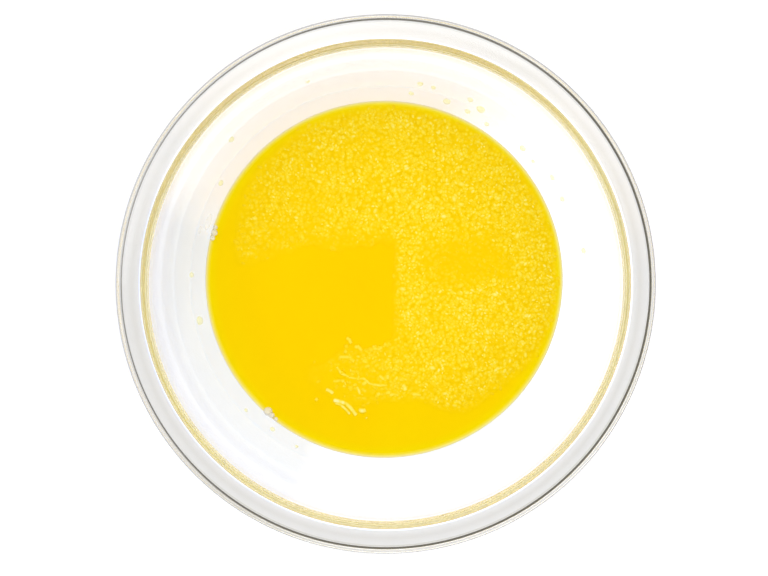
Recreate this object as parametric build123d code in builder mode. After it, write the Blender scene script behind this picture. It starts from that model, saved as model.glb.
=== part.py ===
"""A clear pressed-glass mixing bowl, holding a beaten yellow mixture with froth on it.

Millimetres, +Z up. The origin is the centre of the foot, on the surface that the bowl
stands on. Every piece of the bowl and of what it holds is turned about, or seated on,
one section in the XZ plane.
"""

import os
from math import asin, cos, degrees, pi, radians, sin, tan

from build123d import *

# Bowl, overall
bowl_height = 80.0  # foot to the top of the rim
rim_radius = 95.0  # outermost edge of the rim
rim_width = 11.5  # from there in to the inner wall, carried up to the rim's top
foot_radius = 42.0  # outside of the foot ring

# Glass thicknesses
wall_at_rim = 2.8  # measured level, where the wall meets the rim
base_thickness = 6.0  # inner floor above the table
rim_thickness = 3.0  # the flat part of the rim

# Wall
wall_lean = 12.0  # from upright, just under the rim
straight_wall = 2.7  # height of the straight stretch under the rim
wall_pull = 30.5  # how far that lean carries on down into the curve
belly_reach = 20.0  # how far the outside runs out level from the foot
floor_radius = 20.0  # flat middle of the inner floor
floor_reach = 36.0  # how far the inner floor runs out level from there
wall_halvings = 40  # steps by which a height is found on the inner wall

# Rim, which turns down at its edge
neck_round = 0.8  # hollow between the wall and the rim's underside
curl_inset = 2.4  # from the rim's edge in to the root of the curl
curl_slope_width = 1.2  # the slope by which the underside turns down there
curl_slope = 49.0  # of that slope, from level
curl_drop = 2.75  # how far the curl hangs below the rim's underside
curl_angle = 81.0  # steeper face from the slope down to the tip, from level
curl_blend = 1.4  # hollow at the root of the curl
curl_knee = 1.2  # hollow between the slope and the steeper face
curl_round = 0.42  # both edges of the curl's tip
rim_round = 1.4  # outer edge of the rim's top
mouth_round = 1.6  # inner edge of the rim's top

# Foot ring
foot_height = 1.2  # belly above the table beside the ring
foot_width = 4.0  # flat that the bowl stands on
foot_recess = 1.8  # hollow inside the ring
foot_slope = 1.2  # run of the ring's two sloping sides
foot_round = 0.6

# Mixture
pool_level = 37.0
meniscus_radius = 3.0  # curve by which the liquid climbs the glass
meniscus_start = 1.4  # where that curve leaves the level surface, in from the wall
meniscus_sweep = 60.0

# Froth, a thin raft on the mixture round a clear stretch on one side
froth_thickness = 0.7
froth_margin = 3.4  # clear mixture between the raft and the wall
edge_waves = [(9, 0.66, 0.0), (14, 0.44, 57.0)]  # swings in a turn, their size, degrees to the first
edge_points = 36  # on the line that the raft's edge follows
strip_width = 8.0  # more clear mixture along one side of the raft
strip_bearing = 258.0
strip_taper = 4  # the higher, the sooner that strip thins out on both sides
clear_centre_x = -28.0  # middle of the stretch that has no froth
clear_centre_y = -18.0
clear_length = 70.0
clear_width = 54.0
clear_turn = 30.0  # of its long side from +X
clear_mouth_bearing = 212.0  # where that stretch opens to the wall
clear_mouth_width = 66.0
clear_mouth_reach = 34.0  # from the wall inwards

# Large bubbles standing in the froth
bubble_count = 30
bubble_radius = 1.5
bubble_sink = 0.7  # how deep each sits in the raft
bubble_ring_start = 20.0  # the spiral that they follow starts this far out
bubble_turn = 137.508  # degrees from one bubble to the next, as seeds lie in a head
bubble_spread = 0.6  # power that spaces them: at 1 they crowd the middle

# Drops on the inner wall
drop_band = 20.0  # height above the mixture over which most of them lie
drop_width = 3.4  # of the largest
drop_flatness = 0.36  # height of a drop as a share of its width
drop_seat = 0.02  # room between the glass and a drop's flat back
wall_drop_places = [  # bearing from +X, share of the band, share of the largest width
    (9, 0.71, 0.65),
    (25, 0.53, 0.62),
    (32, 0.57, 0.66),
    (39, 0.37, 0.46),
    (44, 0.40, 0.76),
    (57, 0.26, 0.58),
    (61, 0.57, 1.00),
    (65, 0.68, 0.66),
    (64, 0.31, 0.69),
    (71, 0.35, 0.86),
    (76, 0.65, 0.55),
    (80, 0.68, 0.69),
    (82, 0.32, 0.61),
    (111, 1.17, 0.49),
    (137, 0.98, 0.73),
    (149, 0.37, 0.68),
    (178, 0.45, 0.65),
    (192, 0.34, 0.96),
    (223, 0.36, 0.47),
    (233, 0.26, 0.61),
    (242, 0.31, 0.43),
]

# Clear bubbles held in the corner between the mixture and the glass
cluster_bearings = [162.1, 227.1]  # of the first bubble in each
cluster_bubble_radii = [1.7, 1.2, 1.5]
cluster_step = 1.9  # degrees from one bubble to the next
cluster_gap = 0.9  # from the wall to the middle of a bubble, beyond its radius

os.makedirs("parts", exist_ok=True)


def down_the_wall(start, length):
    """A point that lies length below start along the wall's lean."""
    lean = radians(wall_lean)
    return (start[0] - length * sin(lean), start[1] - length * cos(lean))


# Corners of the section, in (radius, height)
mouth_radius = rim_radius - rim_width
rim_underside = bowl_height - rim_thickness
neck = (mouth_radius + wall_at_rim, rim_underside)
straight_run = straight_wall / cos(radians(wall_lean))
outer_wall_top = down_the_wall(neck, straight_run)
mouth = (mouth_radius, bowl_height)
inner_wall_top = down_the_wall(mouth, straight_run)
curl_root = (rim_radius - curl_inset, rim_underside)
curl_tip_height = rim_underside - curl_drop
knee = (curl_root[0] + curl_slope_width, rim_underside - curl_slope_width * tan(radians(curl_slope)))
curl_tip_inner = knee[0] + (knee[1] - curl_tip_height) / tan(radians(curl_angle))

# The glass: foot ring, belly and wall outside, the rim, then the inside back to the axis
with BuildPart() as glass_bowl:
    with BuildSketch(Plane.XZ):
        with BuildLine():
            foot = FilletPolyline(
                (0, foot_recess),
                (foot_radius - 2 * foot_slope - foot_width, foot_recess),
                (foot_radius - foot_slope - foot_width, 0),
                (foot_radius - foot_slope, 0),
                (foot_radius, foot_height),
                (foot_radius + foot_slope, foot_height),
                radius=foot_round,
            )
            belly_start = foot @ 1
            outer_wall = Bezier(
                belly_start,
                (belly_start.X + belly_reach, belly_start.Y),
                down_the_wall(outer_wall_top, wall_pull),
                outer_wall_top,
            )
            rim = FilletPolyline(
                outer_wall_top,
                neck,
                curl_root,
                knee,
                (curl_tip_inner, curl_tip_height),
                (rim_radius, curl_tip_height),
                (rim_radius, bowl_height),
                mouth,
                inner_wall_top,
                radius=[
                    neck_round,
                    curl_blend,
                    curl_knee,
                    curl_round,
                    curl_round,
                    rim_round,
                    mouth_round,
                ],
            )
            inner_wall = Bezier(
                inner_wall_top,
                down_the_wall(inner_wall_top, wall_pull),
                (floor_radius + floor_reach, base_thickness),
                (floor_radius, base_thickness),
            )
            Polyline(inner_wall @ 1, (0, base_thickness), (0, foot_recess))
        make_face()
    revolve(axis=Axis.Z)


def wall_share_at(height):
    """How far along the inner wall's curve, from its top, a height is reached."""
    high, low = 0.0, 1.0
    for _ in range(wall_halvings):
        middle = (high + low) / 2
        if (inner_wall @ middle).Y > height:
            high = middle
        else:
            low = middle
    return high


def inner_radius_at(height):
    return (inner_wall @ wall_share_at(height)).X


# The inside of the bowl, up to the top of the curved wall: what it holds is cut from this
with BuildPart() as cavity:
    with BuildSketch(Plane.XZ):
        with BuildLine():
            add(inner_wall)
            Polyline(
                inner_wall @ 1,
                (0, base_thickness),
                (0, (inner_wall @ 0).Y),
                inner_wall @ 0,
            )
        make_face()
    revolve(axis=Axis.Z)

# The mixture fills the bottom of the bowl and climbs the glass a little at its edge
pool_radius = inner_radius_at(pool_level)

with BuildPart() as mixture:
    with BuildSketch(Plane.XZ):
        with BuildLine():
            surface = Line(
                (0, pool_level),
                (pool_radius - meniscus_start, pool_level),
            )
            climb = JernArc(
                start=surface @ 1,
                tangent=(1, 0),
                radius=meniscus_radius,
                arc_size=meniscus_sweep,
            )
            Polyline(climb @ 1, ((climb @ 1).X, 0), (0, 0), surface @ 0)
        make_face()
    revolve(axis=Axis.Z)
    add(cavity.part, mode=Mode.INTERSECT)


def froth_edge(turn):
    """The raft's outline, as a radius that wanders in and out with the bearing."""
    wander = sum(size * sin(swings * turn + radians(start)) for swings, size, start in edge_waves)
    beside_strip = (0.5 + 0.5 * cos(turn - radians(strip_bearing))) ** strip_taper
    return pool_radius - froth_margin - strip_width * beside_strip + wander


# The froth lies on the mixture, short of the glass and open over the clear stretch
froth_top = pool_level + froth_thickness

with BuildPart() as froth:
    with BuildSketch(Plane.XY.offset(pool_level)):
        with BuildLine():
            turns = [2 * pi * number / edge_points for number in range(edge_points)]
            outline = [(froth_edge(turn) * cos(turn), froth_edge(turn) * sin(turn)) for turn in turns]
            Spline(*outline, periodic=True)
        make_face()
        with Locations(Location((clear_centre_x, clear_centre_y, 0), (0, 0, clear_turn))):
            Ellipse(clear_length / 2, clear_width / 2, mode=Mode.SUBTRACT)
        mouth_turn = radians(clear_mouth_bearing)
        mouth_place = (
            pool_radius * cos(mouth_turn),
            pool_radius * sin(mouth_turn),
            0,
        )
        with Locations(Location(mouth_place, (0, 0, clear_mouth_bearing))):
            Ellipse(clear_mouth_reach, clear_mouth_width / 2, mode=Mode.SUBTRACT)
    extrude(amount=froth_thickness)
    raft_face = froth.faces().sort_by(Axis.Z)[-1]
    reach = pool_radius - froth_margin - 2 * bubble_radius
    places = []
    for number in range(bubble_count):
        share = (number + 0.5) / bubble_count
        distance = bubble_ring_start + (reach - bubble_ring_start) * share**bubble_spread
        turn = radians(bubble_turn * number)
        place = Vector(distance * cos(turn), distance * sin(turn), froth_top)
        if raft_face.is_inside(place):
            places.append(place + Vector(0, 0, -bubble_sink))
    with Locations(*places):
        Sphere(bubble_radius)
    split(bisect_by=Plane.XY.offset(pool_level), keep=Keep.TOP)

# Each drop is a shallow cap of a ball, seated on the curved wall
with BuildPart() as wall_drops:
    for bearing, climb, size in wall_drop_places:
        width = drop_width * size
        share = wall_share_at(pool_level + drop_band * climb)
        seat = inner_wall @ share
        along = inner_wall % share
        rise = drop_flatness * width
        ball = ((width / 2) ** 2 + rise**2) / (2 * rise)
        # the wall's direction, turned a quarter turn, points into the bowl
        inward = Vector(along.Y, 0, -along.X).rotate(Axis.Z, bearing)
        middle = Vector(seat.X, 0, seat.Y).rotate(Axis.Z, bearing) - inward * (ball - rise - drop_seat)
        with Locations(Plane(origin=middle, z_dir=inward)):
            Sphere(ball, arc_size1=degrees(asin(1 - rise / ball)), align=None)

# The clear bubbles sit half out of the mixture, against the glass
with BuildPart() as edge_bubbles:
    for bearing in cluster_bearings:
        for number, size in enumerate(cluster_bubble_radii):
            turn = radians(bearing + cluster_step * number)
            distance = pool_radius - size - cluster_gap
            with Locations((distance * cos(turn), distance * sin(turn), pool_level)):
                Sphere(size)
    add(cavity.part, mode=Mode.INTERSECT)
    add(mixture.part, mode=Mode.SUBTRACT)
    add(froth.part, mode=Mode.SUBTRACT)

glass_bowl.part.label = "glass_bowl"
mixture.part.label = "mixture"
froth.part.label = "froth"
wall_drops.part.label = "wall_drops"
edge_bubbles.part.label = "edge_bubbles"

for piece in (glass_bowl, mixture, froth, wall_drops, edge_bubbles):
    export_step(piece.part, f"parts/{piece.part.label}.step")
    print(piece.part.label, len(piece.part.solids()), "solids", round(piece.part.volume), "mm3")
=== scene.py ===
import math
import random

import bpy
from mathutils import Matrix, Vector, noise


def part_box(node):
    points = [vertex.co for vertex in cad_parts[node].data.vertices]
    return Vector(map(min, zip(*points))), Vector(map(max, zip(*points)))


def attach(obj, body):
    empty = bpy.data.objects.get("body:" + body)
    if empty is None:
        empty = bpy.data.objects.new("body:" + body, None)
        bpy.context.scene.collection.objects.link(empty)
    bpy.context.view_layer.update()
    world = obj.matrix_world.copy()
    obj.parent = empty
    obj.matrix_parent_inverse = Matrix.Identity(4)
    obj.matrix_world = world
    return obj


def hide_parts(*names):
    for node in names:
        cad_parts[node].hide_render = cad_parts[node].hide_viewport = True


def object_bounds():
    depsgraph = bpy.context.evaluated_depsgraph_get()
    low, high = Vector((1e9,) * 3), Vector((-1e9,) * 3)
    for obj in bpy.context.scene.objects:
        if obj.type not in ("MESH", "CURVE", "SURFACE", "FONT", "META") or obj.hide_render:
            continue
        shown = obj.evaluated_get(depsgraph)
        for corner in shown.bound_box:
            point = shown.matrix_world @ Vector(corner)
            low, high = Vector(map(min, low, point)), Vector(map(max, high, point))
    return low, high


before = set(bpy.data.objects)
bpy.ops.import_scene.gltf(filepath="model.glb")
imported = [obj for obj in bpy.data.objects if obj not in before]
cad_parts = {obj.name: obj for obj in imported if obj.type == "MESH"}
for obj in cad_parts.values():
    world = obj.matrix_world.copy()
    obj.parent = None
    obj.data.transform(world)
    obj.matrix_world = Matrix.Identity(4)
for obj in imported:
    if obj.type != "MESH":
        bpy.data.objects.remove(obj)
cad_low, cad_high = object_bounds()

# The camera looks down into the bowl from above its rim, a little off its axis.
rim_height = cad_high.z
camera_rise = 0.550
camera_place = Vector((-0.01054, 0.0296, rim_height + camera_rise))
camera_aim = Vector((-0.00089, -0.00056, rim_height))

bpy.ops.object.select_all(action="DESELECT")
bpy.ops.object.camera_add(location=camera_place)
camera = bpy.context.object
camera.name = "camera"
camera.data.lens = 73.7
camera.data.clip_start = 0.01
straight_down = Vector((0, 0, -1))
camera.rotation_euler = straight_down.rotation_difference(camera_aim - camera_place).to_euler()
bpy.context.scene.camera = camera


# The bowl is one piece of clear pressed glass: a ring foot, a thick belly, and a wall that
# flares to a flat rim with its edge turned down. Its section is drawn as one Bezier line
# and spun about the axis.
rim_radius = cad_high.x
rim_width = 0.0115
mouth_radius = rim_radius - rim_width
wall_at_rim = 0.0028
base_thickness = 0.0060
rim_thickness = 0.0030
rim_underside = rim_height - rim_thickness
wall_lean = math.radians(12)
straight_wall = 0.0027
wall_pull = 0.0305
belly_reach = 0.0200
floor_radius = 0.0200
floor_reach = 0.0360
foot_radius = 0.0420
foot_width = 0.0040
foot_height = 0.0012
foot_slope = 0.0012
foot_recess = 0.0018
foot_round = 0.0006
curl_inset = 0.0024
curl_slope_width = 0.0012
curl_slope = math.radians(49)
curl_drop = 0.00275
curl_angle = math.radians(81)
rim_rounds = [0.0008, 0.0014, 0.0012, 0.00042, 0.00042, 0.0014, 0.0016]
bowl_steps = 360
fine_cuts = 3
straight_within = math.radians(0.2)
merge_within = 1e-6
seam_within = 2e-6


def point(radius, height):
    """A place on the section, which lies in the XZ plane."""
    return Vector((radius, 0, height))


def down_the_wall(start, length):
    """A place below another by a length along the wall's straight stretch."""
    return start - point(math.sin(wall_lean), math.cos(wall_lean)) * length


def sharp(place):
    """A knot at which straight runs meet: (place, handle before, handle after)."""
    return [(place, place, place)]


def arc_grip(radius, turn):
    """How long the handles are that draw an arc between two knots."""
    return radius * math.tan(turn / 4) * 4 / 3


def rounded(before, corner, after, radius):
    """Two knots that round a corner with an arc of that radius."""
    back = (before - corner).normalized()
    ahead = (after - corner).normalized()
    turn = math.pi - back.angle(ahead)
    reach = radius * math.tan(turn / 2)
    grip = arc_grip(radius, turn)
    start = corner + back * reach
    end = corner + ahead * reach
    return [(start, start, start - back * grip), (end, end - ahead * grip, end)]


def rounded_line(places, radii):
    """Knots along a line of straight runs, with each inner corner rounded."""
    knots = []
    for before, corner, after, radius in zip(places, places[1:], places[2:], radii):
        knots += rounded(before, corner, after, radius)
    return knots


def lathe(name, knots, fine_runs, steps):
    """Draws a section from its knots, makes it a mesh line and spins it about the Z axis.

    The long runs that start at the knots in fine_runs are first cut into shorter ones.
    """
    bpy.ops.object.select_all(action="DESELECT")
    bpy.ops.curve.primitive_bezier_curve_add(radius=1, location=(0, 0, 0))
    line = bpy.context.object
    line.data.resolution_u = 10
    spline = line.data.splines[0]
    spline.bezier_points.add(len(knots) - 2)
    for knot, (place, before, after) in zip(spline.bezier_points, knots):
        knot.handle_left_type = knot.handle_right_type = "FREE"
        knot.co, knot.handle_left, knot.handle_right = place, before, after
    bpy.ops.object.mode_set(mode="EDIT")
    for first in sorted(fine_runs, reverse=True):
        bpy.ops.curve.select_all(action="DESELECT")
        for knot in line.data.splines[0].bezier_points[first:first + 2]:
            knot.select_control_point = True
        bpy.ops.curve.subdivide(number_cuts=fine_cuts)
    bpy.ops.object.mode_set(mode="OBJECT")
    bpy.ops.object.convert(target="MESH")
    piece = bpy.context.object
    piece.name = piece.data.name = name
    bpy.ops.object.mode_set(mode="EDIT")
    bpy.ops.mesh.select_all(action="SELECT")
    bpy.ops.mesh.remove_doubles(threshold=merge_within)
    bpy.ops.mesh.dissolve_limited(angle_limit=straight_within)
    bpy.ops.mesh.select_all(action="SELECT")
    bpy.ops.mesh.spin(steps=steps, angle=2 * math.pi, center=(0, 0, 0), axis=(0, 0, 1))
    bpy.ops.mesh.select_all(action="SELECT")
    bpy.ops.mesh.remove_doubles(threshold=seam_within)
    bpy.ops.mesh.select_all(action="SELECT")
    bpy.ops.mesh.normals_make_consistent(inside=False)
    bpy.ops.object.mode_set(mode="OBJECT")
    bpy.ops.object.shade_smooth()
    return piece


straight_run = straight_wall / math.cos(wall_lean)
outer_top = down_the_wall(point(mouth_radius + wall_at_rim, rim_underside), straight_run)
inner_top = down_the_wall(point(mouth_radius, rim_height), straight_run)
foot_line = [
    point(0, foot_recess),
    point(foot_radius - 2 * foot_slope - foot_width, foot_recess),
    point(foot_radius - foot_slope - foot_width, 0),
    point(foot_radius - foot_slope, 0),
    point(foot_radius, foot_height),
    point(foot_radius + foot_slope, foot_height),
]
belly_start = foot_line[-1]
curl_root = point(rim_radius - curl_inset, rim_underside)
knee = curl_root + point(curl_slope_width, -curl_slope_width * math.tan(curl_slope))
curl_tip = rim_underside - curl_drop
rim_line = [
    outer_top,
    point(mouth_radius + wall_at_rim, rim_underside),
    curl_root,
    knee,
    point(knee.x + (knee.z - curl_tip) / math.tan(curl_angle), curl_tip),
    point(rim_radius, curl_tip),
    point(rim_radius, rim_height),
    point(mouth_radius, rim_height),
    inner_top,
]
floor_edge = point(floor_radius, base_thickness)

glass_knots = sharp(foot_line[0]) + rounded_line(foot_line, [foot_round] * 4)
belly_run = len(glass_knots)
glass_knots += [(belly_start, belly_start, belly_start + point(belly_reach, 0))]
glass_knots += [(outer_top, down_the_wall(outer_top, wall_pull), outer_top)]
glass_knots += rounded_line(rim_line, rim_rounds)
inner_run = len(glass_knots)
glass_knots += [(inner_top, inner_top, down_the_wall(inner_top, wall_pull))]
glass_knots += [(floor_edge, floor_edge + point(floor_reach, 0), floor_edge)]
glass_knots += sharp(point(0, base_thickness))

bowl = lathe("bowl_glass", glass_knots, fine_runs=[belly_run, inner_run], steps=bowl_steps)


def new_material(name):
    """A new material, with its nodes, its links and its main shader."""
    material = bpy.data.materials.new(name)
    material.use_nodes = True
    nodes, links = material.node_tree.nodes, material.node_tree.links
    return material, nodes, links, nodes["Principled BSDF"]


def patches_of(nodes, links, scale):
    """A soft, patchy texture that is fixed to the piece."""
    coordinates = nodes.new("ShaderNodeTexCoord")
    patches = nodes.new("ShaderNodeTexNoise")
    patches.inputs["Scale"].default_value = scale
    links.new(coordinates.outputs["Object"], patches.inputs["Vector"])
    return patches


# It is clear, a little duller in patches, and lets the lamp shine through it.
pressed_glass, nodes, links, shader = new_material("pressed_glass")
shader.inputs["Base Color"].default_value = (1.0, 1.0, 1.0, 1)
shader.inputs["IOR"].default_value = 1.50
shader.inputs["Transmission Weight"].default_value = 1.0
polish = nodes.new("ShaderNodeMapRange")
polish.inputs["To Min"].default_value = 0.05
polish.inputs["To Max"].default_value = 0.10
links.new(patches_of(nodes, links, 40).outputs["Fac"], polish.inputs["Value"])
links.new(polish.outputs["Result"], shader.inputs["Roughness"])
rays = nodes.new("ShaderNodeLightPath")
clear = nodes.new("ShaderNodeBsdfTransparent")
clear.inputs["Color"].default_value = (0.94, 0.95, 0.945, 1)
mix = nodes.new("ShaderNodeMixShader")
links.new(rays.outputs["Is Shadow Ray"], mix.inputs["Fac"])
links.new(shader.outputs["BSDF"], mix.inputs[1])
links.new(clear.outputs["BSDF"], mix.inputs[2])
links.new(mix.outputs["Shader"], nodes["Material Output"].inputs["Surface"])
bowl.data.materials.append(pressed_glass)
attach(bowl, "root")
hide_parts("glass_bowl")


# The mixture is an opaque yellow liquid that fills the bottom of the bowl and climbs the glass
# a little at its edge. It wets the glass, so its side runs a hair into it.
pool_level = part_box("froth")[0].z
wetting = 0.00006
meniscus_radius = 0.0030
meniscus_start = 0.0014
meniscus_sweep = math.radians(60)
wall_halvings = 40
climb_rounds = 30
side_steps = 60
mixture_steps = 180
colour_reach = 0.068
face_depth = 0.0003


def inner_wall(share):
    """A point on the bowl's inner wall, from its top at 0 to the flat floor at 1."""
    a, b = inner_top, down_the_wall(inner_top, wall_pull)
    c, d = floor_edge + point(floor_reach, 0), floor_edge
    rest = 1 - share
    return a * rest**3 + b * 3 * rest**2 * share + c * 3 * rest * share**2 + d * share**3


def inner_radius_at(height):
    """The inner wall's radius at a height, and that place's share of the way down the wall."""
    low, high = 0.0, 1.0
    for _ in range(wall_halvings):
        middle = (low + high) / 2
        if inner_wall(middle).z > height:
            low = middle
        else:
            high = middle
    return inner_wall(low).x, low


pool_radius = inner_radius_at(pool_level)[0]
climb_start = point(pool_radius - meniscus_start, pool_level)
climb_height = pool_level + meniscus_radius * (1 - math.cos(meniscus_sweep))
for _ in range(climb_rounds):
    reach_in = inner_radius_at(climb_height)[0] + wetting - climb_start.x
    drop_back = math.sqrt(meniscus_radius**2 - min(reach_in, meniscus_radius)**2)
    climb_height = pool_level + meniscus_radius - drop_back
top_radius, top_share = inner_radius_at(climb_height)

side = [
    inner_wall(top_share + (1 - top_share) * number / side_steps) + point(wetting, 0)
    for number in range(side_steps + 1)
]
mixture_knots = sharp(point(0, base_thickness - wetting))
for place in reversed(side):
    mixture_knots += sharp(place)
arc_top = side[0]
arc_turn = math.asin((top_radius + wetting - climb_start.x) / meniscus_radius)
grip = arc_grip(meniscus_radius, arc_turn)
arc_way = point(math.cos(arc_turn), math.sin(arc_turn))
mixture_knots[-1] = (arc_top, arc_top, arc_top - arc_way * grip)
mixture_knots += [(climb_start, climb_start + point(grip, 0), climb_start)]
mixture_knots += sharp(point(0, pool_level))
mixture = lathe("mixture_body", mixture_knots, fine_runs=[], steps=mixture_steps)


def ramp_of(nodes, links, source, stops):
    """A colour ramp along a value, from (place, colour) stops."""
    ramp = nodes.new("ShaderNodeValToRGB")
    links.new(source, ramp.inputs["Fac"])
    elements = ramp.color_ramp.elements
    while len(elements) < len(stops):
        elements.new(0.5)
    for element, (place, colour) in zip(elements, stops):
        element.position = place
        element.color = (*colour, 1)
    return ramp.outputs["Color"]


def grey(level):
    """A neutral colour, as light as the level says."""
    return (level, level, level)


def rising(nodes, links, source, low, high):
    """Black up to low, white from high on, and an even blend between them."""
    return ramp_of(nodes, links, source, [(low, grey(0.0)), (high, grey(1.0))])


def share_between(nodes, links, source, low, high):
    """0 up to low, 1 from high on, and evenly between, for lengths."""
    share = nodes.new("ShaderNodeMapRange")
    share.inputs["From Min"].default_value = low
    share.inputs["From Max"].default_value = high
    links.new(source, share.inputs["Value"])
    return share.outputs["Result"]


def distance_from(nodes, links, centre, unit):
    """How far a point lies from an upright line through a centre, as a share of a unit length."""
    coordinates = nodes.new("ShaderNodeTexCoord")
    level = nodes.new("ShaderNodeVectorMath")
    level.operation = "MULTIPLY_ADD"
    level.inputs[1].default_value = (1 / unit, 1 / unit, 0)
    level.inputs[2].default_value = (-centre[0] / unit, -centre[1] / unit, 0)
    links.new(coordinates.outputs["Object"], level.inputs[0])
    length = nodes.new("ShaderNodeVectorMath")
    length.operation = "LENGTH"
    links.new(level.outputs["Vector"], length.inputs[0])
    return length.outputs["Value"]


def reach_toward(nodes, links, bearing):
    """How far out a point lies along a bearing, in tenths of a metre."""
    tenth = 0.1
    coordinates = nodes.new("ShaderNodeTexCoord")
    reach = nodes.new("ShaderNodeVectorMath")
    reach.operation = "DOT_PRODUCT"
    turn = math.radians(bearing)
    reach.inputs[1].default_value = (math.cos(turn) / tenth, math.sin(turn) / tenth, 0)
    links.new(coordinates.outputs["Object"], reach.inputs[0])
    return reach.outputs["Value"]


def mix_of(nodes, links, share, first, second):
    """A mix of two colours, each a socket or a plain colour."""
    mix = nodes.new("ShaderNodeMix")
    mix.data_type = "RGBA"
    links.new(share, mix.inputs["Factor"])
    for colour, socket in ((first, mix.inputs[6]), (second, mix.inputs[7])):
        if isinstance(colour, tuple):
            socket.default_value = (*colour, 1)
        else:
            links.new(colour, socket)
    return mix.outputs[2]


def vector_of(nodes, links, operation, first, second):
    """Two colours added, or multiplied."""
    result = nodes.new("ShaderNodeVectorMath")
    result.operation = operation
    links.new(first, result.inputs[0])
    links.new(second, result.inputs[1])
    return result.outputs["Vector"]


def mixture_colour(nodes, links):
    """Amber-yellow with faint swirls, lemon near the glass and pale where it thins out on it."""
    face = ramp_of(nodes, links, distance_from(nodes, links, (0, 0), colour_reach), [
        (0.0, (0.94, 0.60, 0.0)), (0.78, (0.95, 0.64, 0.0)), (0.92, (0.965, 0.67, 0.0)),
        (0.965, (0.95, 0.72, 0.0)), (0.977, (0.93, 0.77, 0.05)), (0.986, (0.91, 0.80, 0.27)),
        (0.993, (0.91, 0.84, 0.56)), (1.0, (0.93, 0.90, 0.80)),
    ])
    swirls = patches_of(nodes, links, 22)
    swirls.inputs["Distortion"].default_value = 1.2
    tints = ramp_of(nodes, links, swirls.outputs["Fac"], [
        (0.35, (1.0, 0.97, 1.0)), (0.65, (1.0, 1.0, 1.0)),
    ])
    return vector_of(nodes, links, "MULTIPLY", face, tints)


# Its side is seen only through the glass: pale low down, most of all in front, and amber above.
# The pale is painted light, standing in for the pale glow the wall shows where it mirrors the
# side; the amber is the mixture's own colour.
yellow, nodes, links, shader = new_material("beaten_mixture")
coordinates = nodes.new("ShaderNodeTexCoord")
split = nodes.new("ShaderNodeSeparateXYZ")
links.new(coordinates.outputs["Object"], split.inputs["Vector"])
behind = rising(nodes, links, reach_toward(nodes, links, 100), 0.10, 0.26)
base = mix_of(nodes, links, behind, (0.88, 0.895, 0.59), (0.79, 0.71, 0.27))
above_base = share_between(
    nodes, links, split.outputs["Z"], 0.25 * pool_level, 0.42 * pool_level
)
against_glass = mix_of(nodes, links, above_base, base, (1.0, 0.69, 0.05))
surface = share_between(nodes, links, split.outputs["Z"], pool_level - face_depth, pool_level)
links.new(
    mix_of(nodes, links, surface, against_glass, mixture_colour(nodes, links)),
    shader.inputs["Base Color"],
)
shader.inputs["Roughness"].default_value = 0.25
shader.inputs["Specular IOR Level"].default_value = 0.01
mixture.data.materials.append(yellow)
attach(mixture, "root")
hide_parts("mixture")


# The froth is a thin raft of fine bubbles that whisking left on the mixture. It lies thickest on
# the right, thins out to nothing over the left, and stops short of the glass.
raft_rise = 0.00006
# (bearing, radius) of its outer edge, and (bearing, thickness) over it
froth_edge = [
    (-15, 0.0664), (90, 0.0664), (105, 0.0660), (120, 0.0650), (135, 0.0640), (150, 0.0620),
    (165, 0.0590), (200, 0.0480), (240, 0.0500), (255, 0.0500), (270, 0.0465), (285, 0.0475),
    (300, 0.0585), (315, 0.0595), (330, 0.0635), (345, 0.0664),
]
froth_thickness = [
    (-15, 0.72), (15, 0.72), (60, 0.72), (100, 0.55), (130, 0.48), (160, 0.35), (200, 0.3),
    (240, 0.3), (270, 0.45), (300, 0.62), (345, 0.72),
]
# (x, y) along the top and the bottom of the smooth stretch, which ends at clear_right, the
# middle and reach of a thinner window in the froth, and the corner below which it is thin too
clear_top = [(-0.068, 0.004), (-0.056, 0.007), (-0.032, 0.0135), (0.0046, 0.0150)]
clear_bottom = [(-0.033, -0.080), (-0.0290, -0.034), (-0.0136, -0.0265), (0.0046, -0.0246)]
clear_right = 0.0050
window_middle = (0.032, 0.007)
window_reach = (0.017, 0.012)
thin_corner = (0.004, -0.028)
sheet_cells = 220
thinnest_cover = 0.03
cap_height = 0.55
liquid_height = 0.6
cap_squash = (1.2, 1.2, 0.5)
bubble_packing = 1.6
bubble_stretch = (1.3, 0.8, 1)


def between(low, high, value):
    """0 below low, 1 above high, and a smooth step from one to the other."""
    share = min(1, max(0, (value - low) / (high - low)))
    return share * share * (3 - 2 * share)


def along(line, place):
    """The height of a line of (place, height) points above a place."""
    for (start, low), (end, high) in zip(line, line[1:]):
        if place <= end:
            return low + (high - low) * max(0, (place - start) / (end - start))
    return line[-1][1]


def froth_cover(x, y):
    """How thickly the froth lies at a place on the mixture, from 0 to 1."""
    first_bearing = froth_edge[0][0]
    bearing = (math.degrees(math.atan2(y, x)) - first_bearing) % 360 + first_bearing
    edge = along(froth_edge, bearing)
    patches = noise.noise(Vector((x, y, 0)) * 90) + 0.5 * noise.noise(Vector((x, y, 0.1)) * 240)
    cover = 1 - between(edge - 0.005, edge + 0.0015, math.hypot(x, y) + 0.0015 * patches)
    clear = between(-0.0028, 0.0028, clear_right - x + 0.001 * patches)
    clear *= between(-0.006, 0.004, along(clear_top, x) - y + 0.004 * patches)
    clear *= between(-0.004, 0.003, y - along(clear_bottom, x) + 0.003 * patches)
    window = math.hypot(
        (x - window_middle[0]) / window_reach[0], (y - window_middle[1]) / window_reach[1]
    )
    clear = max(clear, 0.8 * (1 - between(0.5, 1.3, window + 0.2 * patches)))
    thick = along(froth_thickness, bearing) + 0.3 * patches
    below, left = thin_corner[1] - y, thin_corner[0] - x
    thick *= 1 - 0.6 * between(0.0, 0.008, below) * between(0, 0.012, left)
    return max(0, min(1, thick)) * cover * (1 - clear)


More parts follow.
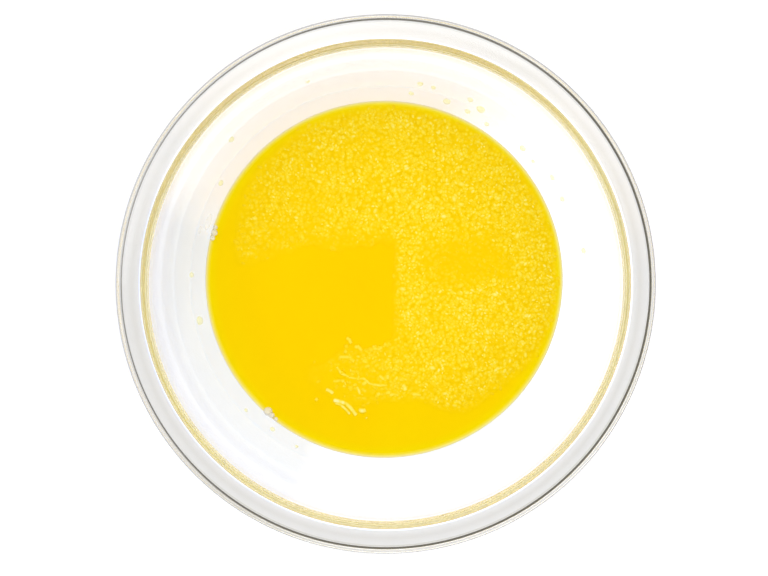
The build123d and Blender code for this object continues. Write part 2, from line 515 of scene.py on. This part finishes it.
def froth_sheet(name):
    """A sheet over the mixture that carries the froth's cover, point by point."""
    bpy.ops.object.select_all(action="DESELECT")
    bpy.ops.mesh.primitive_grid_add(
        x_subdivisions=sheet_cells, y_subdivisions=sheet_cells,
        size=2 * pool_radius, location=(0, 0, 0),
    )
    sheet = bpy.context.object
    sheet.name = sheet.data.name = name
    bpy.ops.object.mode_set(mode="EDIT")
    bpy.ops.mesh.select_all(action="SELECT")
    bpy.ops.transform.translate(value=(0, 0, pool_level))
    bpy.ops.object.mode_set(mode="OBJECT")
    cover = sheet.data.attributes.new("cover", "FLOAT", "POINT")
    for point_cover, vertex in zip(cover.data, sheet.data.vertices):
        point_cover.value = froth_cover(vertex.co.x, vertex.co.y)
    return sheet


def dome(name, segments, rings):
    """The top of a bubble of radius 1 that stands out of the liquid: a ball's cap, squashed."""
    bpy.ops.object.select_all(action="DESELECT")
    bpy.ops.mesh.primitive_uv_sphere_add(
        segments=segments, ring_count=rings, radius=1, location=(0, 0, 0)
    )
    bubble = bpy.context.object
    bubble.name = bubble.data.name = name
    bpy.ops.object.mode_set(mode="EDIT")
    bpy.ops.mesh.select_all(action="SELECT")
    bpy.ops.mesh.bisect(
        plane_co=(0, 0, cap_height), plane_no=(0, 0, 1), clear_inner=True, use_fill=True
    )
    bpy.ops.mesh.select_all(action="SELECT")
    bpy.ops.transform.translate(value=(0, 0, -liquid_height))
    bpy.ops.transform.resize(value=cap_squash, center_override=(0, 0, 0))
    bpy.ops.mesh.normals_make_consistent(inside=False)
    bpy.ops.object.mode_set(mode="OBJECT")
    bpy.ops.object.shade_smooth_by_angle(angle=math.radians(60))
    # crown is 1 at the top of the cap and 0 at its rim; the froth's material pales each bubble
    # toward its top by it, a painted highlight.
    crown = bubble.data.attributes.new("crown", "FLOAT", "POINT")
    for value, vertex in zip(crown.data, bubble.data.vertices):
        value.value = max(0, 1 - vertex.co.x**2 - vertex.co.y**2)
    return bubble


def value_of(nodes, links, operation, first, second):
    """Two values put together, the second a socket or a plain number."""
    result = nodes.new("ShaderNodeMath")
    result.operation = operation
    links.new(first, result.inputs[0])
    if isinstance(second, float):
        result.inputs[1].default_value = second
    else:
        links.new(second, result.inputs[1])
    return result.outputs["Value"]


def chance_of(nodes, seed, low, high):
    """A value drawn by chance for each bubble, from low to high."""
    chance = nodes.new("FunctionNodeRandomValue")
    chance.inputs[2].default_value = low
    chance.inputs[3].default_value = high
    chance.inputs["Seed"].default_value = seed
    return chance.outputs[1]


def seat_bubbles(sheet, bubble, spacing, smallest, largest, smallness, seed):
    """Seats copies of a bubble over a sheet, as densely as its cover says, and keeps only them."""
    tree = bpy.data.node_groups.new(sheet.name + "_bubbles", "GeometryNodeTree")
    tree.interface.new_socket("Geometry", in_out="INPUT", socket_type="NodeSocketGeometry")
    tree.interface.new_socket("Geometry", in_out="OUTPUT", socket_type="NodeSocketGeometry")
    nodes, links = tree.nodes, tree.links
    start = nodes.new("NodeGroupInput")
    end = nodes.new("NodeGroupOutput")
    cover = nodes.new("GeometryNodeInputNamedAttribute")
    cover.data_type = "FLOAT"
    cover.inputs["Name"].default_value = "cover"
    places = nodes.new("GeometryNodeDistributePointsOnFaces")
    places.distribute_method = "POISSON"
    places.inputs["Distance Min"].default_value = spacing
    places.inputs["Density Max"].default_value = bubble_packing / spacing**2
    places.inputs["Seed"].default_value = seed
    links.new(start.outputs[0], places.inputs["Mesh"])
    links.new(cover.outputs["Attribute"], places.inputs["Density Factor"])

    size = nodes.new("ShaderNodeMapRange")
    size.inputs["To Min"].default_value = smallest
    size.inputs["To Max"].default_value = largest
    chance = chance_of(nodes, seed + 1, 0.0, 1.0)
    links.new(value_of(nodes, links, "POWER", chance, smallness), size.inputs["Value"])
    stretch = nodes.new("ShaderNodeVectorMath")
    stretch.operation = "MULTIPLY"
    stretch.inputs[1].default_value = bubble_stretch
    links.new(size.outputs["Result"], stretch.inputs[0])
    turn = nodes.new("FunctionNodeRandomValue")
    turn.data_type = "FLOAT_VECTOR"
    turn.inputs[0].default_value = (0, 0, 0)
    turn.inputs[1].default_value = (0, 0, 2 * math.pi)
    turn.inputs["Seed"].default_value = seed + 3
    model = nodes.new("GeometryNodeObjectInfo")
    model.inputs["Object"].default_value = bubble
    copies = nodes.new("GeometryNodeInstanceOnPoints")
    links.new(places.outputs["Points"], copies.inputs["Points"])
    links.new(model.outputs["Geometry"], copies.inputs["Instance"])
    links.new(stretch.outputs["Vector"], copies.inputs["Scale"])
    links.new(turn.outputs[0], copies.inputs["Rotation"])

    # each bubble has a tone of its own, lighter in clumps and darker where the froth is thin
    clumps = nodes.new("ShaderNodeTexNoise")
    clumps.inputs["Scale"].default_value = 260
    tone = value_of(nodes, links, "ADD", chance_of(nodes, seed + 2, -0.25, 0.35), clumps.outputs[0])
    fade = nodes.new("ShaderNodeMapRange")
    fade.inputs["From Max"].default_value = 0.6
    fade.inputs["To Min"].default_value = 0.3
    links.new(cover.outputs["Attribute"], fade.inputs["Value"])
    faded = value_of(nodes, links, "MULTIPLY", tone, fade.outputs["Result"])
    faded.node.use_clamp = True
    store = nodes.new("GeometryNodeStoreNamedAttribute")
    store.data_type = "FLOAT"
    store.domain = "INSTANCE"
    store.inputs["Name"].default_value = "tone"
    links.new(copies.outputs["Instances"], store.inputs["Geometry"])
    links.new(faded, store.inputs["Value"])
    solid = nodes.new("GeometryNodeRealizeInstances")
    links.new(store.outputs["Geometry"], solid.inputs["Geometry"])
    links.new(solid.outputs["Geometry"], end.inputs[0])

    bpy.ops.object.select_all(action="DESELECT")
    sheet.select_set(True)
    bpy.context.view_layer.objects.active = sheet
    modifier = sheet.modifiers.new("bubbles", "NODES")
    modifier.node_group = tree
    bpy.ops.object.modifier_apply(modifier=modifier.name)
    bpy.data.objects.remove(bubble)
    return sheet


raft = froth_sheet("froth_raft")
bpy.ops.object.mode_set(mode="EDIT")
bpy.ops.mesh.select_mode(type="VERT")
bpy.ops.mesh.select_all(action="DESELECT")
bpy.ops.object.mode_set(mode="OBJECT")
for vertex, cover in zip(raft.data.vertices, raft.data.attributes["cover"].data):
    lumps = noise.noise(vertex.co * 500) + noise.noise(vertex.co * 1100)
    vertex.co.z += raft_rise * (1 + 0.5 * lumps)
    vertex.select = cover.value < thinnest_cover
bpy.ops.object.mode_set(mode="EDIT")
bpy.ops.mesh.delete(type="VERT")
bpy.ops.object.mode_set(mode="OBJECT")
bpy.ops.object.shade_smooth()

lather, nodes, links, shader = new_material("lather")
coordinates = nodes.new("ShaderNodeTexCoord")
cells = nodes.new("ShaderNodeTexVoronoi")
cells.voronoi_dimensions = "2D"
cells.inputs["Scale"].default_value = 620
links.new(coordinates.outputs["Object"], cells.inputs["Vector"])
clumps = patches_of(nodes, links, 330)
clumps.inputs["Detail"].default_value = 3
cover = nodes.new("ShaderNodeAttribute")
cover.attribute_name = "cover"
# Each cell is drawn as a bubble, paler in its middle and darker orange at its edge: partly the
# froth's own paler tone, partly painted highlight on the bubble tops and painted shade in the gaps
# between them.
bubbly = ramp_of(nodes, links, cells.outputs["Distance"], [
    (0.0, (0.96, 0.76, 0.08)), (0.25, (0.96, 0.72, 0.03)), (0.45, (0.94, 0.64, 0.004)),
    (0.65, (0.88, 0.57, 0.0)),
])
lumpy = ramp_of(nodes, links, clumps.outputs["Fac"], [(0.36, grey(0.1)), (0.62, grey(1.0))])
whipped = mix_of(nodes, links, lumpy, (0.93, 0.61, 0.001), bubbly)
thick = rising(nodes, links, cover.outputs["Fac"], 0.05, 0.6)
links.new(
    mix_of(nodes, links, thick, mixture_colour(nodes, links), whipped),
    shader.inputs["Base Color"],
)
shader.inputs["Roughness"].default_value = 0.4
shader.inputs["Specular IOR Level"].default_value = 0.02
raft.data.materials.append(lather)
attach(raft, "root")
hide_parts("froth")

froth_pieces = [
    seat_bubbles(
        froth_sheet("froth_fine"), dome("fine_bubble", segments=8, rings=6),
        spacing=0.00100, smallest=0.00055, largest=0.00105, smallness=1.4, seed=3,
    ),
    seat_bubbles(
        froth_sheet("froth_coarse"), dome("coarse_bubble", segments=12, rings=12),
        spacing=0.0030, smallest=0.0008, largest=0.0014, smallness=2.0, seed=11,
    ),
]

# On the lower side pale streaks lie on the mixture, drawn as short strings of froth; their pale
# tone is partly froth and partly painted highlight, the light the rippled liquid mirrors there.
# Each is (tone, thickness, places it runs through), in mm.
string_spread = 1.3
string_flatness = 0.25
bead_step = 0.7
bead_sway = 0.3
string_end = 0.3
strings = [
    (0.65, 0.48, [(-18.0, -32.8), (-16.2, -35.4), (-12.9, -36.9), (-9.6, -37.4), (-7.6, -37.4),
                  (-5.6, -39.2), (-2.2, -39.9), (1.2, -39.8)]),
    (0.65, 0.60, [(-19.4, -38.3), (-17.2, -38.1), (-14.9, -38.3)]),
    (1.00, 0.70, [(-22.2, -41.4), (-20.6, -42.0), (-19.3, -43.0)]),
    (1.00, 0.75, [(-19.4, -45.4), (-16.9, -46.0), (-14.4, -46.8), (-12.6, -48.6), (-10.7, -51.2)]),
    (0.90, 0.50, [(-18.6, -46.6), (-16.4, -47.4), (-14.6, -49.0), (-12.9, -51.0)]),
    (1.00, 0.85, [(-9.8, -49.4), (-8.3, -49.6), (-7.0, -49.2)]),
    (0.80, 0.55, [(-7.0, -52.0), (-6.5, -52.6)]),
    (0.55, 0.60, [(-26.2, -44.8), (-25.0, -45.7)]),
    (0.55, 0.60, [(-14.4, -21.8), (-13.2, -22.4), (-12.6, -24.0)]),
    (0.60, 0.62, [(-17.0, -29.2), (-14.8, -29.0), (-12.4, -29.3)]),
    (0.50, 0.60, [(-5.8, -26.1), (-3.6, -25.8), (-1.2, -26.2)]),
    (0.50, 0.60, [(-10.4, -24.8), (-9.4, -25.6), (-8.7, -26.6)]),
    (0.75, 0.50, [(-10.4, -40.4), (-9.6, -41.8), (-9.2, -43.4)]),
    (0.70, 0.70, [(1.2, -35.9), (1.3, -37.6)]),
    (0.60, 0.60, [(2.0, -43.5), (3.8, -43.4), (5.4, -43.6)]),
    (0.85, 0.80, [(6.9, -39.6), (7.7, -40.6), (8.0, -41.9)]),
    (0.60, 0.60, [(10.6, -43.5), (12.2, -43.3), (13.8, -43.6)]),
]


def froth_string(tone, thickness, places):
    """A tapered, lumpy string of froth that lies half sunk in the mixture."""
    reach = string_spread * thickness / 1000
    bpy.ops.object.select_all(action="DESELECT")
    bpy.ops.curve.primitive_nurbs_path_add(radius=1, location=(0, 0, 0))
    line = bpy.context.object
    line.data.bevel_depth = reach
    line.data.bevel_resolution = 3
    line.data.use_fill_caps = True
    line.data.resolution_u = 6
    bpy.ops.object.mode_set(mode="EDIT")
    bpy.ops.curve.select_all(action="SELECT")
    bpy.ops.curve.delete(type="VERT")
    bpy.ops.object.mode_set(mode="OBJECT")
    path = line.data.splines.new("NURBS")
    beads = [places[0]]
    for (x, y), (next_x, next_y) in zip(places, places[1:]):
        count = max(1, round(math.hypot(next_x - x, next_y - y) / bead_step))
        for number in range(1, count + 1):
            share = number / count
            sway = bead_sway * noise.noise(Vector((x, y, number * 0.6)))
            beads.append((x + (next_x - x) * share + sway, y + (next_y - y) * share - sway))
    ends = [beads[0]] + beads + [beads[-1]]
    path.points.add(len(ends) - 1)
    path.order_u = 3
    path.use_endpoint_u = True
    for number, (knot, (x, y)) in enumerate(zip(path.points, ends)):
        knot.co = (x / 1000, y / 1000, pool_level, 1)
        swell = 0.95 + 0.35 * noise.noise(Vector((x, y, 0)) * 1.3)
        knot.radius = swell if 0 < number < len(ends) - 1 else string_end
    bpy.ops.object.convert(target="MESH")
    string = bpy.context.object
    bpy.ops.object.mode_set(mode="EDIT")
    bpy.ops.mesh.select_all(action="SELECT")
    bpy.ops.mesh.remove_doubles(threshold=merge_within)
    bpy.ops.transform.translate(value=(0, 0, -pool_level))
    bpy.ops.transform.resize(value=(1, 1, string_flatness), center_override=(0, 0, 0))
    bpy.ops.transform.translate(value=(0, 0, pool_level))
    bpy.ops.mesh.normals_make_consistent(inside=False)
    bpy.ops.object.mode_set(mode="OBJECT")
    bpy.ops.object.shade_smooth()
    tones = string.data.attributes.new("tone", "FLOAT", "POINT")
    for value in tones.data:
        value.value = tone
    # crown rises to 1 along the top of the string; the froth's material pales the string there by
    # it, a painted highlight.
    crown = string.data.attributes.new("crown", "FLOAT", "POINT")
    for value, vertex in zip(crown.data, string.data.vertices):
        rise = (vertex.co.z - pool_level) / (reach * string_flatness)
        value.value = min(1, max(0, rise)) ** 2
    return string


def joined(parts, name):
    """One piece made of several."""
    bpy.ops.object.select_all(action="DESELECT")
    for part in parts:
        part.select_set(True)
    bpy.context.view_layer.objects.active = parts[0]
    bpy.ops.object.join()
    piece = bpy.context.object
    piece.name = piece.data.name = name
    return piece


# Short shreds of froth lie between the long strings.
shred_count = 64
shreds = random.Random(7)
for _ in range(shred_count):
    x, y = shreds.uniform(-17, 9), shreds.uniform(-44, -24)
    length, slant = shreds.uniform(0.6, 2.0), shreds.uniform(-0.9, 0.5)
    tone, thickness = shreds.uniform(0.3, 0.65), shreds.uniform(0.45, 0.75)
    strings.append((tone, thickness, [(x, y), (x + length, y + length * slant)]))
froth_pieces.append(joined([froth_string(*values) for values in strings], "froth_strings"))

foam, nodes, links, shader = new_material("froth_bubbles")
tone = nodes.new("ShaderNodeAttribute")
tone.attribute_name = "tone"
crown = nodes.new("ShaderNodeAttribute")
crown.attribute_name = "crown"
# Each bubble and string has its own tone, paled toward its top by its crown: the tone is the
# froth's own colour, the crown a painted highlight.
light = value_of(nodes, links, "MULTIPLY", tone.outputs["Fac"], crown.outputs["Fac"])
foam_colour = ramp_of(nodes, links, light, [
    (0.0, (0.93, 0.61, 0.0)), (0.35, (0.95, 0.69, 0.02)), (0.65, (0.97, 0.77, 0.08)),
    (0.85, (0.98, 0.83, 0.18)), (1.0, (0.99, 0.89, 0.34)),
])
links.new(foam_colour, shader.inputs["Base Color"])
shader.inputs["Roughness"].default_value = 0.35
shader.inputs["Specular IOR Level"].default_value = 0.04
for piece in froth_pieces:
    piece.data.materials.clear()
    piece.data.materials.append(foam)
    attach(piece, "root")
    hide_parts("froth")


# Drops of the mixture cling to the wall where the whisk splashed it. Each is a shallow cap of
# thin liquid, wetting the glass.
drop_width = 0.0034
drop_length = 1.12
drop_flatness = 0.36
drop_gap = 0.00002
drop_band = 0.020
wall_step = 0.001
# (bearing, climb above the mixture as a share of the band, size)
drop_places = [
    (9, 0.71, 0.65), (25, 0.53, 0.62), (32, 0.57, 0.66), (39, 0.37, 0.46), (44, 0.40, 0.76),
    (57, 0.26, 0.58), (61, 0.57, 1.00), (65, 0.68, 0.66), (64, 0.31, 0.69), (71, 0.35, 0.86),
    (76, 0.65, 0.55), (80, 0.68, 0.69), (82, 0.32, 0.61), (111, 1.17, 0.49), (137, 0.98, 0.73),
    (149, 0.37, 0.68), (178, 0.45, 0.65), (192, 0.34, 0.96), (223, 0.36, 0.47), (233, 0.26, 0.61),
    (242, 0.31, 0.43),
]
bpy.ops.object.select_all(action="DESELECT")
bpy.ops.mesh.primitive_uv_sphere_add(segments=24, ring_count=16, radius=0.5, location=(0, 0, 0))
drop = bpy.context.object
drop.name = drop.data.name = "drop"
bpy.ops.object.mode_set(mode="EDIT")
bpy.ops.mesh.select_all(action="SELECT")
bpy.ops.mesh.bisect(plane_co=(0, 0, 0), plane_no=(0, 0, 1), clear_inner=True, use_fill=True)
bpy.ops.mesh.select_all(action="SELECT")
bpy.ops.transform.resize(value=(1, 1, 2 * drop_flatness))
bpy.ops.mesh.normals_make_consistent(inside=False)
bpy.ops.object.mode_set(mode="OBJECT")
bpy.ops.object.shade_smooth_by_angle(angle=math.radians(50))


def wall_seat(height):
    """The place on the inner wall at a height, and the way the wall runs down there."""
    share = inner_radius_at(height)[1]
    run = inner_wall(share + wall_step) - inner_wall(share - wall_step)
    return inner_wall(share), run.normalized()


def turned_to(bearing, seat, down, across, out):
    """The place of a shape on the wall, with its X down the wall and its Z square to it."""
    way = Matrix((down, across, out)).transposed().to_4x4()
    return Matrix.Rotation(math.radians(bearing), 4, "Z") @ Matrix.Translation(seat) @ way


drops = []
for bearing, climb, size in drop_places:
    seat, down = wall_seat(pool_level + drop_band * climb)
    inward = Vector((down.z, 0, -down.x))
    bpy.ops.object.select_all(action="DESELECT")
    drop.select_set(True)
    bpy.context.view_layer.objects.active = drop
    bpy.ops.object.duplicate()
    copy = bpy.context.object
    stretch = Matrix.Diagonal((drop_length, 1, 1, 1)) * drop_width * size
    stretch[3][3] = 1
    place = turned_to(bearing, seat + inward * drop_gap, down, Vector((0, -1, 0)), inward)
    copy.data.transform(place @ stretch)
    drops.append(copy)
bpy.data.objects.remove(drop)
wall_drops = joined(drops, "splashed_drops")


def thin_film(name, thin, thick, cover):
    """A film so thin that what lies behind it shows through."""
    material, nodes, links, shader = new_material(name)
    patches = patches_of(nodes, links, 300)
    tints = ramp_of(nodes, links, patches.outputs["Fac"], [(0.35, thin), (0.65, thick)])
    links.new(tints, shader.inputs["Base Color"])
    shader.inputs["Roughness"].default_value = 0.15
    shader.inputs["Specular IOR Level"].default_value = 0.2
    shader.inputs["Alpha"].default_value = cover
    return material


thin_mixture = thin_film("thin_mixture", (0.98, 0.95, 0.38), (0.98, 0.92, 0.14), 0.26)
wall_drops.data.materials.append(thin_mixture)
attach(wall_drops, "root")
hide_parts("wall_drops")


# A few bubbles stand in the corner between the mixture and the glass: thin whitish films of
# liquid, empty inside. Beside them two thin white smears lie on the wall.
film = 0.00012
film_rise = 0.0008
film_foot = 0.0002
bubble_inset = 0.4
cluster_step = 1.8
# (bearing of the first bubble, radii), and for a smear (bearing, climb, width, length)
clusters = [(162.5, [0.0009, 0.0013, 0.0010]), (228.4, [0.0017, 0.0011, 0.0008])]
smears = [(161.5, 0.0042, 0.0036, 0.0066), (164.5, 0.0078, 0.0020, 0.0034)]
bubble_film = thin_film("bubble_film", (1.0, 1.0, 1.0), (1.0, 0.98, 0.96), 0.34)
wall_smear = thin_film("wall_smear", (1.0, 1.0, 1.0), (1.0, 0.99, 0.98), 0.22)
films = []
for first, radii in clusters:
    for number, radius in enumerate(radii):
        turn = math.radians(first + cluster_step * number)
        distance = pool_radius - bubble_inset * radius
        bpy.ops.object.select_all(action="DESELECT")
        bpy.ops.mesh.primitive_uv_sphere_add(
            segments=32, ring_count=24, radius=radius,
            location=(distance * math.cos(turn), distance * math.sin(turn), pool_level + film_rise),
        )
        bubble = bpy.context.object
        bpy.ops.object.transform_apply(location=True, rotation=True, scale=True)
        bpy.ops.object.mode_set(mode="EDIT")
        bpy.ops.mesh.select_all(action="SELECT")
        bpy.ops.mesh.bisect(
            plane_co=(0, 0, pool_level - film_foot), plane_no=(0, 0, 1),
            clear_inner=True, use_fill=False,
        )
        bpy.ops.object.mode_set(mode="OBJECT")
        shell = bubble.modifiers.new("film", "SOLIDIFY")
        shell.thickness = film
        shell.offset = -1
        bpy.ops.object.modifier_apply(modifier=shell.name)
        bubble.data.materials.append(bubble_film)
        films.append(bubble)
for bearing, climb, width, length in smears:
    seat, down = wall_seat(pool_level + climb)
    across = Vector((0, 1, 0))
    bpy.ops.object.select_all(action="DESELECT")
    bpy.ops.mesh.primitive_uv_sphere_add(
        segments=24, ring_count=16, radius=0.5, location=(0, 0, 0)
    )
    smear = bpy.context.object
    place = turned_to(bearing, seat - point(film, 0), down, across, down.cross(across))
    smear.data.transform(place @ Matrix.Diagonal((width, length, film, 1)))
    smear.data.materials.append(wall_smear)
    films.append(smear)
edge_films = joined(films, "edge_bubble_films")
bpy.ops.object.shade_smooth()
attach(edge_films, "root")
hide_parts("edge_bubbles")


# The bowl stands on a white table under a soft white sky, with one large soft lamp above. What
# the glass mirrors sideways is a darker room. The table looks brighter through the glass where
# the bowl gathers light on it, and dimmer under the rim.
table_white = 0.70
table_size = 8
paper_centre = (-0.075, 0.045)
paper_radius = 0.255
paper_edge = 0.285
gathered_centre = (0.0015, -0.0043)
half_metre = 0.5
room_top = math.radians(20)
sky_bottom = math.radians(34)

bpy.ops.object.select_all(action="DESELECT")
bpy.ops.mesh.primitive_plane_add(size=table_size)
floor = bpy.context.object
floor.name = "floor"
table, nodes, links, shader = new_material("white_table")
shader.inputs["Roughness"].default_value = 0.9
shader.inputs["Specular IOR Level"].default_value = 0.0


def mirrored_part(nodes, links, rays):
    """1 where a shiny surface mirrors this, and 0 where it is seen directly or through glass."""
    return value_of(nodes, links, "MINIMUM", rays.outputs["Glossy Depth"], 1.0)


# Beyond the white paper the room is darker, which shows only in what the glass mirrors.
rays = nodes.new("ShaderNodeLightPath")
off_paper = distance_from(nodes, links, paper_centre, half_metre)
far = rising(nodes, links, off_paper, paper_radius / half_metre, paper_edge / half_metre)
dark = value_of(nodes, links, "MULTIPLY", far, mirrored_part(nodes, links, rays))

# Under the rim on the near side the table is in the glass's shade.
gathered = distance_from(nodes, links, gathered_centre, half_metre)
rim_shade = ramp_of(nodes, links, gathered, [
    (0.2125, grey(0.0)), (0.2175, grey(1.0)), (0.300, grey(1.0)), (0.340, grey(0.0)),
])
near_side = rising(nodes, links, reach_toward(nodes, links, -75), 0.45, 0.80)
shade = vector_of(nodes, links, "MULTIPLY", rim_shade, near_side)
shaded = mix_of(nodes, links, shade, grey(table_white), (0.58, 0.57, 0.53))
plain = mix_of(nodes, links, rays.outputs["Is Camera Ray"], shaded, grey(table_white))
links.new(mix_of(nodes, links, dark, plain, (0.12, 0.11, 0.08)), shader.inputs["Base Color"])

# The light that the bowl gathers, by the distance from its axis: front, back and left side.
under_mixture = [
    (0.060, (0.88, 0.61, 0.10)), (0.069, (0.67, 0.645, 0.56)), (0.092, (0.67, 0.645, 0.56)),
    (0.104, (0.72, 0.68, 0.42)), (0.116, (0.72, 0.68, 0.42)),
]
glow = ramp_of(nodes, links, gathered, under_mixture + [
    (0.128, (0.75, 0.82, 1.0)), (0.189, (0.70, 0.76, 0.92)), (0.196, (0.085, 0.09, 0.105)),
    (0.216, (0.07, 0.075, 0.09)), (0.240, grey(0.0)),
])
warm = ramp_of(nodes, links, gathered, under_mixture + [
    (0.128, (0.42, 0.35, 0.29)), (0.140, (0.45, 0.41, 0.39)), (0.146, (0.48, 0.49, 0.58)),
    (0.155, (0.51, 0.56, 0.72)), (0.180, (0.62, 0.68, 0.88)), (0.189, (0.70, 0.76, 0.92)),
    (0.196, (0.085, 0.09, 0.105)), (0.240, grey(0.0)),
])
cool = ramp_of(nodes, links, gathered, under_mixture + [
    (0.128, (0.29, 0.39, 0.54)), (0.1628, (0.28, 0.41, 0.64)), (0.166, (0.13, 0.245, 0.53)),
    (0.175, (0.30, 0.42, 0.655)), (0.181, (0.165, 0.26, 0.525)), (0.189, (0.26, 0.39, 0.73)),
    (0.1925, (0.17, 0.27, 0.51)), (0.196, (0.08, 0.085, 0.10)), (0.240, grey(0.0)),
])
upward = rising(nodes, links, reach_toward(nodes, links, 112), 0.30, 0.52)
downward = rising(nodes, links, reach_toward(nodes, links, 242), 0.0, 0.20)
leftward = ramp_of(nodes, links, reach_toward(nodes, links, 160), [
    (0.0, grey(0.50)), (0.06, grey(0.74)), (0.20, grey(0.77)), (0.40, grey(0.82)),
    (0.50, grey(0.86)), (0.62, grey(0.86)), (0.71, grey(1.0)),
])
left_side = vector_of(nodes, links, "MULTIPLY", downward, leftward)
glow = mix_of(nodes, links, upward, glow, warm)
glow = mix_of(nodes, links, left_side, glow, cool)

# Seen through the lip: a thin dark line all round, painted shade on the table's glow, and a painted
# ring of light that is brighter at the back.
painted_dark_line = ramp_of(nodes, links, gathered, [
    (0.2010, grey(1.0)), (0.2028, grey(0.0)), (0.2044, grey(0.0)), (0.2062, grey(1.0)),
])
ring = ramp_of(nodes, links, gathered, [
    (0.192, grey(0.0)), (0.198, grey(1.0)), (0.216, grey(1.0)), (0.230, grey(0.0)),
])
brighter = ramp_of(nodes, links, reach_toward(nodes, links, 75), [
    (0.30, grey(0.0)), (0.50, (0.09, 0.07, 0.04)), (0.86, (0.18, 0.165, 0.14)),
    (1.0, (0.11, 0.10, 0.085)),
])
bright_ring = vector_of(nodes, links, "MULTIPLY", ring, brighter)
glow = vector_of(nodes, links, "MULTIPLY", glow, painted_dark_line)
glow = vector_of(nodes, links, "ADD", glow, bright_ring)
seen = mix_of(nodes, links, dark, glow, grey(0.0))
lit = mix_of(nodes, links, rays.outputs["Is Camera Ray"], seen, grey(0.30))
links.new(lit, shader.inputs["Emission Color"])
shader.inputs["Emission Strength"].default_value = 1.0
floor.data.materials.append(table)

world = bpy.data.worlds.new("studio")
bpy.context.scene.world = world
world.use_nodes = True
nodes, links = world.node_tree.nodes, world.node_tree.links
background = nodes["Background"]
direction = nodes.new("ShaderNodeTexCoord")
split = nodes.new("ShaderNodeSeparateXYZ")
links.new(direction.outputs["Generated"], split.inputs["Vector"])
sideways = nodes.new("ShaderNodeMath")
sideways.operation = "MULTIPLY_ADD"
links.new(split.outputs["X"], sideways.inputs[0])
sideways.inputs[1].default_value = -0.5
sideways.inputs[2].default_value = 0.5
room = ramp_of(nodes, links, sideways.outputs["Value"], [
    (0.0, (0.10, 0.09, 0.06)), (0.5, (0.20, 0.18, 0.14)), (1.0, (0.34, 0.33, 0.31)),
])
above_room = rising(nodes, links, split.outputs["Z"], math.sin(room_top), math.sin(sky_bottom))
rays = nodes.new("ShaderNodeLightPath")
mirrored_sky = mix_of(nodes, links, above_room, room, grey(1.0))
sky = mix_of(nodes, links, mirrored_part(nodes, links, rays), grey(1.0), mirrored_sky)
sky = mix_of(nodes, links, rays.outputs["Is Camera Ray"], sky, grey(1.0))
links.new(sky, background.inputs["Color"])

bpy.ops.object.light_add(type="AREA", location=(-0.3, 0.6, 1.6))
lamp = bpy.context.object
lamp.name = "soft_lamp"
lamp.data.size = 1.2
lamp.data.energy = 5.5
lamp.rotation_euler = (-lamp.location).to_track_quat("-Z", "Y").to_euler()

scene = bpy.context.scene
scene.view_settings.view_transform = "Standard"
scene.cycles.max_bounces = 24
scene.cycles.glossy_bounces = 16
scene.cycles.transmission_bounces = 16
scene.cycles.transparent_max_bounces = 16
